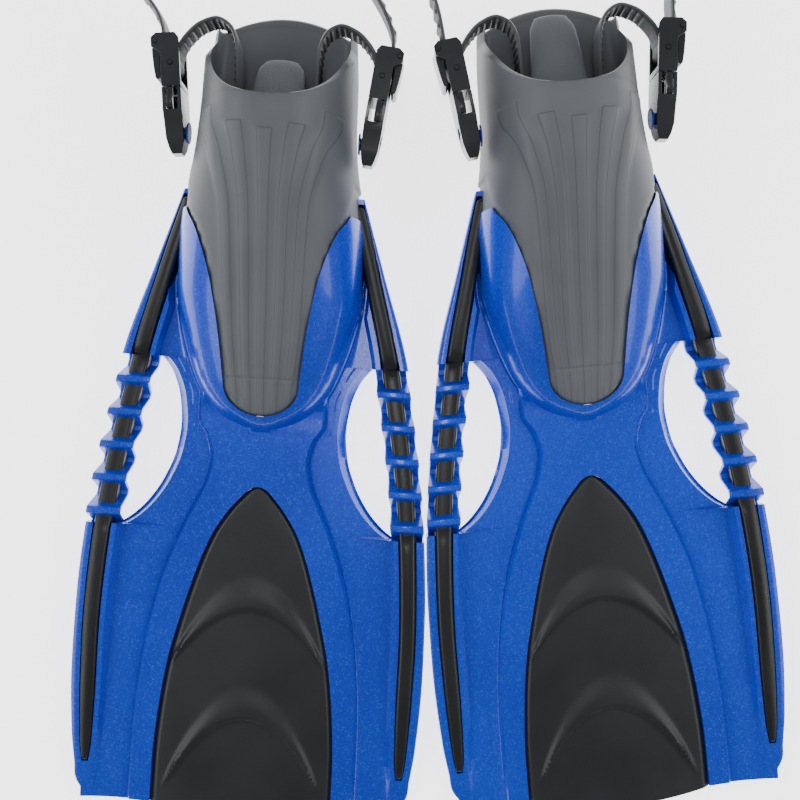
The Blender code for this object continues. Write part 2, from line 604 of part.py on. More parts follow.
def place_fin(fin, parts, materials):
    """Objects of one fin, hung on an empty that sets where the fin lies in the pair."""
    side = -1 if fin == "left" else 1
    frame = bpy.data.objects.new(f"{fin}_fin_frame", None)
    bpy.context.scene.collection.objects.link(frame)
    lean = math.radians(TOE_IN)
    heel_x = TIP_SPACING / 2 - TIP_STATION * math.sin(lean)
    frame.location = Vector((side * heel_x, HEEL_Y + side * STAGGER / 2, 0)) * MM
    frame.rotation_euler = (0, 0, side * lean)
    strap = (heel_strap(fin), (0, STUD_STATION, STUD_HEIGHT), "grey_rubber")
    for name, (mesh, pivot, finish) in {**parts, "heel_strap": strap}.items():
        shape = mirror(mesh) if fin == "right" else mesh.copy()
        u, v, z = pivot
        origin = Vector((-u if fin == "right" else u, -v, z)) * MM
        shape.transform(Matrix.Translation(-origin))
        shape.materials.clear()
        shape.materials.append(materials[finish])
        shape.shade_smooth()
        shape.set_sharp_from_angle(angle=math.radians(35))
        shape.name = f"{fin}_{name}"
        ob = bpy.data.objects.new(f"{fin}_{name}", shape)
        ob.parent = frame
        ob.location = origin
        bpy.context.scene.collection.objects.link(ob)


def main():
    for ob in list(bpy.data.objects):
        bpy.data.objects.remove(ob)
    materials = {
        "blue_plastic": material("blue_plastic", (0.02, 0.13, 0.72), 0.28),
        "black_rubber": material("black_rubber", (0.02, 0.02, 0.022), 0.5),
        "grey_rubber": material("grey_rubber", (0.085, 0.095, 0.105), 0.55),
        "black_plastic": material("black_plastic", (0.012, 0.013, 0.016), 0.22),
    }
    parts = fin_meshes()
    for fin in ("left", "right"):
        place_fin(fin, parts, materials)


main()
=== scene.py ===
# %% [markdown]
# # A pair of open-heel swim fins
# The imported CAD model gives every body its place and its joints. This lesson builds the finish around
# it: each visible part is a surface worked out from a few curves, and it rides on its CAD body.

# %% Start
import json
import math

import bmesh
import bpy
import numpy as np
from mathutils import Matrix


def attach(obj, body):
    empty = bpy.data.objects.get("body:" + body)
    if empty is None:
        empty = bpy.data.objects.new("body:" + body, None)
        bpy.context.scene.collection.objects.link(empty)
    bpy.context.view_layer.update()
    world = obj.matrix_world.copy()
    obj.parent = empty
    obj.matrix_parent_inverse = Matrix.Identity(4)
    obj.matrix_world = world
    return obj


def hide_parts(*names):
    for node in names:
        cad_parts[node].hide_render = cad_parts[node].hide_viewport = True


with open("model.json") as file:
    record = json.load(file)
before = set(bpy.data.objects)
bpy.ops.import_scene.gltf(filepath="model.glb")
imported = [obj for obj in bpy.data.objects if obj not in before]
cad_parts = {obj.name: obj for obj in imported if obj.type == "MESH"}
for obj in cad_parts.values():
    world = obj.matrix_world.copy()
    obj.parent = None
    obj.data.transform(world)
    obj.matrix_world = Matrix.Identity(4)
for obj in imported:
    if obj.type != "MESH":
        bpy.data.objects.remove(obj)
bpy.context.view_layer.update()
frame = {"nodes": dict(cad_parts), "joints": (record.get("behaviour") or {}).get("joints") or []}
MM = 0.001

# %% [markdown]
# ## Fin coordinates
# Each fin is drawn in millimetres in a frame of its own: u runs across towards the other fin, v is the
# station from the heel end to the tip, and z is up from the ground. The axis of the joint that swings
# the strap gives that frame, so a surface lands where its CAD node lies. The fins mirror each other.

# %% Each fin's own frame
STUD_STATION, STUD_HEIGHT = 84, 45
FINS = ("left", "right")


def fin_frame(fin):
    """Heel point, direction across and direction to the heel, from the strap's swing joint."""
    joint = next(j for j in frame["joints"] if j["name"] == f"{fin}_strap_swing_outer")
    across = np.array(joint["axis"], dtype=float)
    across /= np.linalg.norm(across)
    heelward = np.cross([0, 0, 1], across)
    heel = np.array(joint["pos_m"]) + heelward * STUD_STATION * MM - [0, 0, STUD_HEIGHT * MM]
    return heel, across, heelward


FRAMES = {fin: fin_frame(fin) for fin in FINS}


def to_world(fin, points):
    """World point = heel + u across (turned round for the right fin) - v heelward + z up, in metres."""
    heel, across, heelward = FRAMES[fin]
    u, v, z = np.asarray(points, dtype=float).reshape(-1, 3).T * MM
    inward = 1 if fin == "left" else -1
    return heel + np.outer(inward * u, across) - np.outer(v, heelward) + np.outer(z, [0, 0, 1])


print({fin: np.round(FRAMES[fin][0], 4).tolist() for fin in FINS})

# %% [markdown]
# ## Curves and grids
# Every outline is a short list of knots. A cubic that never swings past a knot joins them, which keeps
# thin walls from crossing. A grid of points becomes quads between neighbours, and a piece is one or
# more grids whose borders meet, merged into one closed mesh.


# %% Curve, step and grid helpers
def along(knots, at):
    """Monotone cubic through the knots: slopes are harmonic means of the neighbouring rates."""
    x, y = np.array(knots, dtype=float).T
    at = np.asarray(at, dtype=float)
    rate = np.diff(y) / np.diff(x)
    before, after = np.append(rate[:1], rate), np.append(rate, rate[-1:])
    both = before * after
    slope = np.where(both > 0, 2 * both / np.where(both > 0, before + after, 1), 0)
    inside = np.clip(at, x[0], x[-1])
    k = np.clip(np.searchsorted(x, inside) - 1, 0, len(x) - 2)
    step = x[k + 1] - x[k]
    t = (inside - x[k]) / step
    a = (1 + 2 * t) * (1 - t) ** 2 * y[k] + t * (1 - t) ** 2 * step * slope[k]
    b = t ** 2 * (3 - 2 * t) * y[k + 1] + t ** 2 * (t - 1) * step * slope[k + 1]
    return a + b


def smooth(low, high, x):
    """0 below low, 1 above high, and 3t^2 - 2t^3 between."""
    t = np.clip((x - low) / (high - low), 0, 1)
    return t * t * (3 - 2 * t)


def soft_max(a, b, reach):
    """Larger of two heights with a fillet: half of (a + b + the root of (a - b)^2 + reach^2)."""
    return 0.5 * (a + b + np.sqrt((a - b) ** 2 + reach ** 2))


def quads(rows, cols, first=0, round_cols=False):
    """Quads of a grid stored row by row; round columns join its last line to its first."""
    i = np.arange(rows - 1)[:, None]
    j = np.arange(cols if round_cols else cols - 1)[None, :]
    corners = [i * cols + j, i * cols + (j + 1) % cols, (i + 1) * cols + (j + 1) % cols, (i + 1) * cols + j]
    return first + np.stack([np.broadcast_to(c, (len(i), j.shape[1])) for c in corners], -1).reshape(-1, 4)


def cap(at, size):
    """Strips that close a ring of the given size: point k faces point size - 1 - k."""
    k = at + np.arange(size // 2 - 1)
    across = 2 * at + size - 1 - k
    return np.stack([k, k + 1, across - 1, across], -1)


MERGE = 0.004 * MM                           # points nearer than this are one point
THIN_ROW = 0.1                               # rows of a stepped grid thinner than this make a wall


def closed_mesh(name, fin, points, faces, lay=None, stepped=False, sharp=38):
    """Closed mesh from points and faces: doubles merged, normals outwards, and edges kept crisp where two
    faces meet at a steep angle. A stepped grid also keeps the borders of its thinnest rows crisp."""
    points = np.asarray(points, dtype=float).reshape(-1, 3)
    faces = [list(dict.fromkeys(face)) for face in np.asarray(faces).tolist()]
    mesh = bpy.data.meshes.new(name)
    mesh.from_pydata(to_world(fin, points).tolist(), [], faces)
    if lay is not None:
        kept = mesh.attributes.new("lay", "FLOAT_VECTOR", "POINT")
        kept.data.foreach_set("vector", np.asarray(lay, dtype=np.float32).ravel())
    shape = bmesh.new()
    shape.from_mesh(mesh)
    if stepped:
        for face, corners in zip(shape.faces, faces):
            if np.ptp(points[corners, 1]) < THIN_ROW:
                for edge in face.edges:
                    edge.smooth = False
    bmesh.ops.remove_doubles(shape, verts=shape.verts, dist=MERGE)
    bmesh.ops.recalc_face_normals(shape, faces=shape.faces)
    if shape.calc_volume(signed=True) < 0:
        bmesh.ops.reverse_faces(shape, faces=shape.faces)
    for edge in shape.edges:
        if edge.is_manifold and edge.calc_face_angle(0) > math.radians(sharp):
            edge.smooth = False
    print(f"{name}: {len(shape.faces)} faces, {sum(not e.is_manifold for e in shape.edges)} open edges")
    shape.to_mesh(mesh)
    shape.free()
    return mesh


def finished(name, mesh, finish, body, nodes):
    """The piece as an object: material, smooth shading, its CAD body and the nodes it stands for."""
    mesh.materials.clear()
    mesh.materials.append(finish)
    mesh.polygons.foreach_set("use_smooth", np.ones(len(mesh.polygons), dtype=bool))
    ob = bpy.data.objects.new(name, mesh)
    bpy.context.scene.collection.objects.link(ob)
    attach(ob, body)
    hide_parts(*nodes)
    return ob


def piece(name, fin, points, faces, finish, body, slot, nodes, **looks):
    """A closed mesh from points and faces, made into a finished piece."""
    return finished(name, closed_mesh(name, fin, points, faces, **looks), finish, body, nodes)


# %% [markdown]
# ## Finishes
# The blades are a pearl plastic: blue with fine flakes under a clear skin. The pockets and straps are
# matt grey rubber with a fine grain, the rails and the blade's middle are darker rubber, and the
# buckles are glossy black. Grain and mottling are needed in every finish, so they are one node group.


# %% A node group for moulded grain
def linked(tree, source, target):
    tree.links.new(source, target)


def grain_group():
    """Fine noise for a bump, and slow noise that mottles colour and roughness, in object space."""
    tree = bpy.data.node_groups.new("moulded_grain", "ShaderNodeTree")
    for label, value in (("Fine", 900.0), ("Broad", 14.0)):
        made = tree.interface.new_socket(label, in_out="INPUT", socket_type="NodeSocketFloat")
        made.default_value = value
    for label in ("Height", "Mottle"):
        tree.interface.new_socket(label, in_out="OUTPUT", socket_type="NodeSocketFloat")
    entry, leave = tree.nodes.new("NodeGroupInput"), tree.nodes.new("NodeGroupOutput")
    where = tree.nodes.new("ShaderNodeTexCoord")
    for label, scale, detail in (("Height", "Fine", 2.0), ("Mottle", "Broad", 4.0)):
        noise = tree.nodes.new("ShaderNodeTexNoise")
        noise.inputs["Detail"].default_value = detail
        linked(tree, where.outputs["Object"], noise.inputs["Vector"])
        linked(tree, entry.outputs[scale], noise.inputs["Scale"])
        linked(tree, noise.outputs["Fac"], leave.inputs[label])
    return tree


GRAIN = grain_group()
print("node group", GRAIN.name)


# %% Helpers for a material's nodes
def new_finish(name, roughness, metallic=0.0, coat=0.0, coat_roughness=0.1, specular=0.5):
    """A Principled material with its uniform values set on the shader's own sockets."""
    made = bpy.data.materials.new(name)
    made.use_nodes = True
    shader = made.node_tree.nodes["Principled BSDF"]
    for label, value in (("Roughness", roughness), ("Metallic", metallic), ("Coat Weight", coat),
                         ("Coat Roughness", coat_roughness), ("Specular IOR Level", specular)):
        shader.inputs[label].default_value = value
    return made, made.node_tree, shader


def maths(tree, operation, a, b=None):
    """One Math node; a and b are sockets or numbers."""
    node = tree.nodes.new("ShaderNodeMath")
    node.operation = operation
    for slot, value in zip(node.inputs, (a, b)):
        if isinstance(value, (int, float)):
            slot.default_value = value
        elif value is not None:
            linked(tree, value, slot)
    return node.outputs[0]


def blend_colour(tree, share, low, high):
    """Colour ramp between two colours by a share from 0 to 1."""
    ramp = tree.nodes.new("ShaderNodeValToRGB")
    ramp.color_ramp.elements[0].color = (*low, 1)
    ramp.color_ramp.elements[1].color = (*high, 1)
    linked(tree, share, ramp.inputs["Fac"])
    return ramp.outputs["Color"]


def spread(tree, value, low, high, to_low, to_high):
    """Map a value from one range to another, held at the ends."""
    node = tree.nodes.new("ShaderNodeMapRange")
    for label, number in (("From Min", low), ("From Max", high), ("To Min", to_low), ("To Max", to_high)):
        node.inputs[label].default_value = number
    linked(tree, value, node.inputs["Value"])
    return node.outputs["Result"]


def grain(tree, fine, broad):
    node = tree.nodes.new("ShaderNodeGroup")
    node.node_tree = GRAIN
    node.inputs["Fine"].default_value = fine
    node.inputs["Broad"].default_value = broad
    return node.outputs["Height"], node.outputs["Mottle"]


def bumped(tree, shader, height, distance):
    """Bump of the given depth in metres."""
    node = tree.nodes.new("ShaderNodeBump")
    node.inputs["Distance"].default_value = distance
    linked(tree, height, node.inputs["Height"])
    linked(tree, node.outputs["Normal"], shader.inputs["Normal"])


def mixed(tree, share, first, second):
    """Colour mix; first and second are sockets or colours."""
    node = tree.nodes.new("ShaderNodeMix")
    node.data_type = "RGBA"
    for slot, value in ((node.inputs[0], share), (node.inputs[6], first), (node.inputs[7], second)):
        if isinstance(value, tuple):
            slot.default_value = (*value, 1)
        elif isinstance(value, (int, float)):
            slot.default_value = value
        else:
            linked(tree, value, slot)
    return node.outputs[2]


# %% Pearl blue plastic
def pearl_blue():
    """Two blues mottled slowly, lifted by tiny flakes that a cell pattern scatters."""
    made, tree, shader = new_finish("pearl_blue", 0.3, 0.2, 0.45, 0.08, 0.4)
    height, mottle = grain(tree, 500, 9)
    where = tree.nodes.new("ShaderNodeTexCoord")
    flakes = tree.nodes.new("ShaderNodeTexVoronoi")
    flakes.inputs["Scale"].default_value = 1500
    linked(tree, where.outputs["Object"], flakes.inputs["Vector"])
    apart = tree.nodes.new("ShaderNodeSeparateColor")
    linked(tree, flakes.outputs["Color"], apart.inputs["Color"])
    glint = spread(tree, apart.outputs["Red"], 0.8, 1, 0, 0.35)
    base = blend_colour(tree, spread(tree, mottle, 0.35, 0.65, 0, 1),
                        (0.002, 0.03, 0.50), (0.004, 0.05, 0.62))
    linked(tree, mixed(tree, glint, base, (0.06, 0.30, 0.95)), shader.inputs["Base Color"])
    linked(tree, spread(tree, apart.outputs["Green"], 0, 1, 0.22, 0.42), shader.inputs["Roughness"])
    bumped(tree, shader, height, 0.00004)
    return made


# %% Rubbers and black plastic
def ribbed_rubber():
    """Pocket rubber. Its lay attribute is (fan line, station, mask). The raised strips lie where the fan
    coordinate is near an even number, and painted shade darkens their edges, where the steps would fall
    into shade."""
    made, tree, shader = new_finish("ribbed_rubber", 0.5, 0, 0.0, 0.3, 0.45)
    height, mottle = grain(tree, 1300, 18)
    given = tree.nodes.new("ShaderNodeAttribute")
    given.attribute_name = "lay"
    apart = tree.nodes.new("ShaderNodeSeparateXYZ")
    linked(tree, given.outputs["Vector"], apart.inputs["Vector"])
    fan, station, mask = (apart.outputs[k] for k in "XYZ")
    turned = maths(tree, "PINGPONG", fan, 1.0)
    strip = spread(tree, turned, 0.43, 0.57, 1, 0)
    index = maths(tree, "ROUND", maths(tree, "MULTIPLY", fan, 0.5))
    away = maths(tree, "ABSOLUTE", index)
    start = maths(tree, "SUBTRACT", 88.0, maths(tree, "MULTIPLY", maths(tree, "MULTIPLY", away, away), 3.5))
    past = spread(tree, maths(tree, "SUBTRACT", station, start), 0, 1.2, 0, 1)
    inside = spread(tree, away, 2.4, 2.6, 1, 0)
    raised = maths(tree, "MULTIPLY", maths(tree, "MULTIPLY", strip, past),
                   maths(tree, "MULTIPLY", inside, mask))
    # painted shade: the colour is mixed towards near black along the strips' edges, standing in for the
    # shade at their steps
    edge = maths(tree, "MULTIPLY", maths(tree, "PINGPONG", raised, 0.5), 2.0)
    base = blend_colour(tree, spread(tree, mottle, 0.3, 0.7, 0, 1),
                        (0.095, 0.102, 0.111), (0.115, 0.123, 0.133))
    base_with_painted_shade = mixed(tree, maths(tree, "MULTIPLY", edge, 0.5), base, (0.018, 0.02, 0.023))
    linked(tree, base_with_painted_shade, shader.inputs["Base Color"])
    linked(tree, spread(tree, mottle, 0.3, 0.7, 0.46, 0.58), shader.inputs["Roughness"])
    bumped(tree, shader, height, 0.000045)
    return made


def plain_rubber(name, dark, light, roughness, fine, depth=0.00006, coat=0.0):
    """Rubber of one colour, mottled a little, with its grain as a bump."""
    made, tree, shader = new_finish(name, roughness, 0, coat, 0.25, 0.45)
    height, mottle = grain(tree, fine, 20)
    colour = blend_colour(tree, spread(tree, mottle, 0.3, 0.7, 0, 1), dark, light)
    linked(tree, colour, shader.inputs["Base Color"])
    sheen = spread(tree, mottle, 0.3, 0.7, roughness - 0.06, roughness + 0.06)
    linked(tree, sheen, shader.inputs["Roughness"])
    bumped(tree, shader, height, depth)
    return made


FINISH = {
    "blue": pearl_blue(),
    "pocket": ribbed_rubber(),
    "strap": plain_rubber("strap_rubber", (0.05, 0.055, 0.06), (0.065, 0.07, 0.076), 0.48, 1200),
    "tab": plain_rubber("tab_rubber", (0.10, 0.107, 0.122), (0.125, 0.132, 0.147), 0.6, 700, 0.00025),
    "insert": plain_rubber("insert_rubber", (0.009, 0.010, 0.012), (0.013, 0.0145, 0.017), 0.42, 1100),
    "rail": plain_rubber("rail_rubber", (0.006, 0.0065, 0.007), (0.009, 0.0095, 0.010), 0.32, 900),
    "buckle": plain_rubber("buckle_plastic", (0.011, 0.012, 0.015), (0.015, 0.0165, 0.02), 0.24, 600,
                           0.00003, 0.4),
    "stud": plain_rubber("stud_plastic", (0.012, 0.06, 0.55), (0.016, 0.075, 0.62), 0.22, 600,
                         0.00002, 0.5),
}
print("finishes", sorted(FINISH))

# %% [markdown]
# ## The fin's outlines
# These curves are the fin's plan and side views, the same ones that the CAD part was made from. Stations
# run from the heel end at 0 to the blade's end at 499.

# %% Outline curves
FIN_LENGTH, CORNER_RADIUS, ROOT = 499, 18, 113.5
VENT_START, VENT_END = 217, 323
OUTER_EDGE = [(113, 55.4), (160, 71), (216, 89), (270, 98.5), (320, 105.6), (370, 109.4),
              (415, 110.4), (455, 108.8), (478, 106.2)]
VENT_EDGE = [(213, 72), (218, 65.5), (228, 58.5), (242, 54), (258, 52.3), (275, 54.3), (292, 60.3),
             (306, 68.5), (318, 79.5), (325, 90)]
SPINE_EDGE = [(113, 39), (254, 39), (265, 33), (278, 30), (292, 32.5), (308, 39.5), (331, 49.5),
              (362, 59.5), (408, 67.5), (447, 70.5), (499, 71.5)]
SPINE_RISE = [(230, 0), (258, 5), (300, 4), (360, 3), (499, 1.5)]
PLATE_TOP = [(113, 15), (216, 13), (330, 10), (420, 7.5), (499, 5)]
PLATE_BOTTOM = [(113, 3), (330, 2.5), (499, 1.2)]
SHOULDER_TOP = [(113, 27), (160, 24), (212, 20), (330, 17.5), (420, 12.5), (475, 7.5), (499, 5)]
SHOULDER_BOTTOM = [(113, 0), (470, 0), (499, 1.2)]
SHOULDER_REACH = 9.5
RAIL_LINE = [(113, 50.2), (165, 64.4), (217, 78), (323, 95.2), (400, 99.4), (475, 99.4)]
RAIL_START, RAIL_END = 117, 475
RAIL_HALF = [(117, 4), (150, 5), (211, 5.5), (220, 5.8), (317, 5.8), (326, 5.4), (420, 4.8),
             (462, 3.4), (475, 1.8)]
RAIL_TOP = [(117, 29), (160, 26.4), (211, 21.3), (220, 16.2), (317, 16.2), (326, 19.2), (420, 14.2),
            (475, 8.6)]
RAIL_BOTTOM = [(117, 9), (211, 7), (220, 5.8), (317, 5.8), (326, 6), (420, 4.6), (475, 3.6)]
INSERT_EDGE = [(300, 8.6), (308, 15.6), (316, 21.3), (324, 26), (336, 31.2), (352, 36.6), (378, 43.9),
               (408, 50.8), (440, 55), (470, 57), (520, 57.5)]
INSERT_TIP, INSERT_NOSE, INSERT_BULGE, INSERT_HALF = 295.2, 300, 7, 57.5
BULGE_START = 450
SHELL_HALF = [(0, 44.5), (40, 46.5), (70, 47.4), (84, 48.6), (98, 50.6), (112, 53.4), (140, 57.3),
              (172, 57.8), (200, 52.6), (225, 44.5), (236, 39.2), (246, 31.8), (253, 22.4), (258, 10),
              (259.4, 3)]
SHELL_TOP = [(0, 95), (72, 95), (100, 88), (140, 72), (180, 56), (220, 42), (243, 33), (258, 21.5),
             (259.4, 18)]
ROOF_END, HOLLOW_END = 259.3, 251.1          # the roof lifts the blade to here, and is hollow to here
RUBBER_EDGE = [(112, 51.5), (122, 50.5), (130, 48.3), (140, 42.2), (154, 36.5), (170, 31.8),
               (186, 28.7), (205, 25.8), (231.5, 23)]
RUBBER_TOE, TOE_STATION = 19, 231.5
WALL, SOLE_TOP, HEEL_SWEEP, SPRING = 4.3, 12, 16, 8
TOPLINE = [(13, 14), (71.5, 97)]
SEAM = 0.35                                  # clearance that touching pieces keep
FIT = 0.08                                   # the soft pieces all but fill their openings
SKIN = 1.3                                   # the blue cheeks' thickness over the rubber


def rubber_half(v, grow=0.0):
    """Half width of the rubber's opening: a curve, then an ellipse round the toe, then nothing."""
    toe = np.clip(1 - ((v - TOE_STATION) / (RUBBER_TOE + grow)) ** 2, 0, 1)
    side = along(RUBBER_EDGE, v) + grow
    return np.where(v <= TOE_STATION, side, (RUBBER_EDGE[-1][1] + grow) * np.sqrt(toe))


def insert_half(v, grow=0.0):
    """Half width of the middle insert: a parabola at its tip, then its own curve."""
    widest = INSERT_EDGE[0][1]
    nose = widest * np.sqrt(np.clip((v - INSERT_TIP + grow) / (INSERT_NOSE - INSERT_TIP), 0, None))
    side = np.where(v < INSERT_NOSE, np.minimum(nose, widest), along(INSERT_EDGE, v))
    return side + grow * (v > INSERT_TIP - grow)


def dome_height(u, v, less=0.0):
    """Height of the pocket's roof over (u, v): z = spring + rise * sin^0.8 where u = half * cos^0.8."""
    half, top = along(SHELL_HALF, v) - less, along(SHELL_TOP, v) - less
    cos = np.clip(np.abs(u) / np.maximum(half, 0.1), 0, 1) ** 1.25
    sin = np.sqrt(1 - cos ** 2)
    return np.where(np.abs(u) < half, SPRING + (top - SPRING) * sin ** 0.8, -5.0)


def outer_half(v):
    """Half width of the blade with rounded tip corners."""
    corner = np.clip(v - (FIN_LENGTH - CORNER_RADIUS), 0, CORNER_RADIUS)
    return along(OUTER_EDGE, v) - CORNER_RADIUS + np.sqrt(CORNER_RADIUS ** 2 - corner ** 2)


print("toe opening half width at 200:", float(rubber_half(np.array(200.0))))

# %% [markdown]
# ## The blade
# One blue moulding carries everything: cheeks over the toe box, a raised spine that forks round the
# soft middle, and thick shoulders with a channel for each rail. It could be cut out of blocks with
# Booleans; here a row of key lines runs along the fin instead, each with its own height, because then
# every crease lies on an edge of the mesh and stays crisp.


# %% Key lines of half a blade
def stretch(lines, counts):
    """Rows of values at the key lines, with the given number of even steps between neighbours."""
    out = [lines[0]]
    for a, b, n in zip(lines[:-1], lines[1:], counts):
        out += [a + (b - a) * k / n for k in range(1, n + 1)]
    return np.stack(out, axis=1)


STEP = 0.05                                  # a wall across the fin is a row this thin
TIP_WAVE, TIP_WAVE_WIDTH = 1.2, 17           # the blade's end runs in a gentle wave
VENT_CHAMFER, EDGE_CHAMFER = 5.2, 1.3
UNDER_VENT = (6.2, 2.2)                      # how the vent's edge falls: below the plate, above its base
FILLET = 2.2                                 # softens the foot of the toe box's dome


def blade_stations():
    """Even stations, more of them at the curved ends, and a pair of rows at every wall."""
    toe = TOE_STATION + (RUBBER_TOE + FIT) * np.sin(np.linspace(0, math.pi / 2, 14))
    nose = INSERT_TIP - FIT + (INSERT_NOSE - INSERT_TIP) * np.linspace(0, 1, 14) ** 2
    tip = FIN_LENGTH - CORNER_RADIUS * (1 - np.sin(np.linspace(0, math.pi / 2 - 0.03, 12)))
    walls = (VENT_START, VENT_END - STEP, HOLLOW_END - STEP, RAIL_START - SEAM - STEP, RAIL_END + SEAM)
    edges = [v + part for v in walls for part in (0, STEP)]
    return np.unique(np.round(np.concatenate([np.arange(ROOT, 478, 2.1), toe, nose, tip, edges]), 4))


def blade_lines(v):
    """Key lines (u, top, bottom) for every station, from the opening out to the blade's edge. Two lines a
    few hundredths apart make an upright wall, and no line may cross the one before it. Inside the vent
    the rail's lines have no channel to follow, so they are squeezed in before the vent's edge."""
    vent = (v > VENT_START + 0.01) & (v < VENT_END - 0.01)
    edge = np.where(vent, along(VENT_EDGE, v), outer_half(v))
    inner = np.where(v > INSERT_TIP - FIT, insert_half(v, FIT), rubber_half(v, FIT))
    plate, spine = along(PLATE_TOP, v), along(SPINE_RISE, v)
    under = np.where(vent, along(PLATE_BOTTOM, v), along(SHOULDER_BOTTOM, v))
    below = along(PLATE_BOTTOM, v)
    shoulder = along(SHOULDER_TOP, v)
    line, half = along(RAIL_LINE, v), along(RAIL_HALF, v) + SEAM
    railed = (v > RAIL_START - SEAM - 0.02) & (v < RAIL_END + SEAM + 0.02)
    floor = np.where(railed, along(RAIL_BOTTOM, v) - SEAM, shoulder)
    left, right = line - half, line + half
    shell = np.where(v < ROOF_END, along(SHELL_HALF, v), 0)
    foot = np.clip(shell, inner + 0.04, np.where(vent, edge - 7, left - 0.3))
    foot = np.maximum(foot, np.where(v > 240, inner + 0.25 * (along(SPINE_EDGE, v) - inner), 0))
    lip = np.maximum(foot - SKIN, inner + 0.02)
    ridge = np.maximum(along(SPINE_EDGE, v), foot + 0.6)
    ridge = np.minimum(ridge, np.where(vent, edge - 7.5, left - SHOULDER_REACH * 0.6))
    ridge = np.maximum(ridge, foot + 0.1)
    rise = spine * smooth(-1, 7, along(SPINE_EDGE, v) - shell)
    chamfer = np.where(vent, VENT_CHAMFER, EDGE_CHAMFER)
    outside = edge - chamfer
    start = np.maximum(left - SHOULDER_REACH + 4, ridge + 2.2)
    key = [inner, lip, lip + 0.02, foot, foot + 0.04, ridge - 1.4, ridge - 0.3, ridge + 0.5, ridge + 1.5,
           start, start + 2.4, left, left + 0.03, right - 0.03, right, outside, edge - chamfer * 0.3, edge]
    top = [plate + rise] * 6 + [plate + rise * 0.35 - 0.2, plate - 0.45, plate, plate, shoulder, shoulder,
                                floor, floor, shoulder, shoulder, shoulder - 0.4, shoulder - 1.3]
    base = [below] * 10 + [under] * 7 + [under + 0.8]
    for k, share in enumerate((0.2, 0.35, 0.5, 0.51, 0.75, 0.76)):
        squeezed = ridge + 1.5 + (outside - ridge - 1.5) * share
        key[9 + k] = np.where(vent, squeezed, key[9 + k])
        top[9 + k] = np.where(vent, plate, top[9 + k])
    top[15] = np.where(vent, plate, top[15])
    top[16] = np.where(vent, plate - UNDER_VENT[0], top[16])
    top[17] = np.where(vent, below + UNDER_VENT[1], top[17])
    for k in range(1, len(key)):
        key[k] = np.maximum(key[k], key[k - 1] + 0.01)
    hidden = (key[0] > left - 0.6) & ~vent & (v < 180)
    for k in range(12):
        top[k] = np.where(hidden, floor, top[k])
    return key, top, base, hidden


def blade_half():
    """Top and bottom grids over the key lines; the roof's dome lifts the lines that lie under it."""
    v = blade_stations()
    key, top, base, hidden = blade_lines(v)
    counts = [14, 1, 2, 1, 5, 1, 1, 1, 4, 2, 2, 1, 2, 1, 2, 1, 1]
    u, high, low = stretch(key, counts), stretch(top, counts), stretch(base, counts)
    station = np.broadcast_to(v[:, None], u.shape)
    roofed = (station < ROOF_END) & ~hidden[:, None]
    stops = np.cumsum([0] + counts)
    under_roof = np.arange(u.shape[1])[None, :] <= stops[11]
    dome = dome_height(u, station)
    high = np.where(roofed & under_roof, soft_max(high, dome, FILLET), high)
    under_skin = np.arange(u.shape[1])[None, :] <= stops[1]
    hollow = (station < HOLLOW_END - STEP / 2) & under_skin & ~hidden[:, None]
    inside = dome_height(u, station, SKIN)
    low = np.where(hollow, np.where(inside > 0, inside, low), low)
    low = np.minimum(low, high - 0.3)
    out = station + TIP_WAVE * np.sin(u / TIP_WAVE_WIDTH) * smooth(470, FIN_LENGTH, station)
    upper = np.stack([u, out, high], -1)
    lower = np.stack([u, out, low], -1)
    return upper, lower


def blade_mesh():
    """Two mirrored halves; each is a top grid, a bottom grid and the walls round their borders."""
    points, faces = [], []
    first = 0
    upper, lower = blade_half()
    rows, cols = upper.shape[:2]
    for side in (1, -1):
        loop = np.concatenate([upper, lower[:, ::-1]], axis=1) * [side, 1, 1]
        joined = np.abs(loop[:, 0, 0]) < 0.3
        loop[joined, 0, 0] = 0
        loop[joined, -1, 0] = 0
        points.append(loop.reshape(-1, 3))
        wrap = quads(rows, 2 * cols, first, round_cols=True)
        closing = (np.arange(len(wrap)) % (2 * cols)) == 2 * cols - 1
        row = np.arange(len(wrap)) // (2 * cols)
        shared = closing & joined[row] & joined[np.minimum(row + 1, rows - 1)]
        faces.append(wrap[~shared])
        for end in (0, rows - 1):
            faces.append(cap(first + end * 2 * cols, 2 * cols))
        first += 2 * cols * rows
    return np.vstack(points), np.vstack(faces)


for fin in FINS:
    piece(f"{fin}_blade_moulding", fin, *blade_mesh(), FINISH["blue"], f"{fin}_fin", "blue_plastic",
          [f"{fin}_blade"], sharp=42, stepped=True)

# %% [markdown]
# ## Ladders
# Beside each vent a folded strip holds the rail: it passes over the rail at five crests and under it
# between them. It is one profile carried along a zigzag, with the corners of the zigzag eased.

# %% Folded strips
LADDER_PITCH, LADDER_RUNGS, LADDER_FIRST, LADDER_WALL = 20.6, 5, 232.3, 4.4
LADDER_LOW, LADDER_HIGH = 0.6, 21.2
CREST_HALF, VALLEY_HALF = 10.6, 9.8
LADDER_EASE = 0.9                            # radius along the strip's long edges
LADDER_ROW = 0.3                             # distance between its rows of points


